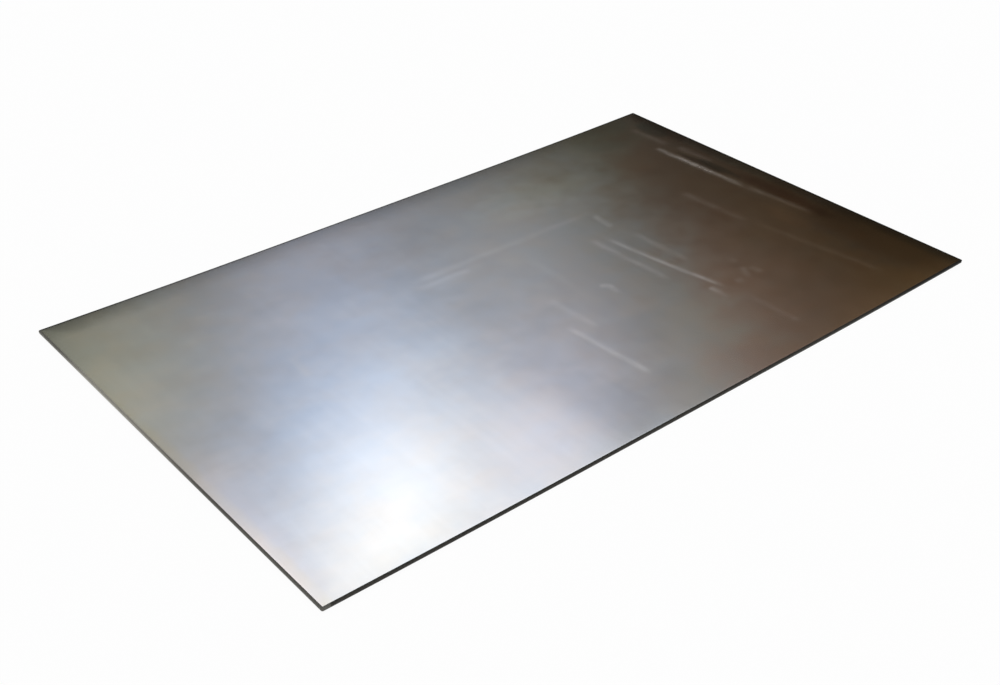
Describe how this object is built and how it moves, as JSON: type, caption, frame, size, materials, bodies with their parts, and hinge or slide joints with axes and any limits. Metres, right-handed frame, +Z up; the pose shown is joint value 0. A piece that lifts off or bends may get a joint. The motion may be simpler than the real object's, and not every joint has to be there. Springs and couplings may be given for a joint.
{
  "type": "steel plate",
  "caption": "Rectangular mild steel plate, sheared on all sides, with a mill-rolled scuffed face, a slight lengthwise curl and dulled corners.",
  "frame": {"origin": "centre of the stretch of underside that touches the floor, which is the centre of the plan at floor height", "axes": "+X along the plate's length, +Y across its width towards the far long side, +Z up through its thickness"},
  "size_m": [1, 0.6, 0.0072],
  "materials": {
    "rolled_steel": "rolled mill finish, blurred mirror, thin oil film, scuffed and lightly tarnished"
  },
  "bodies": {
    "root": {"steel_plate": "rolled_steel"}
  },
  "joints": []
}
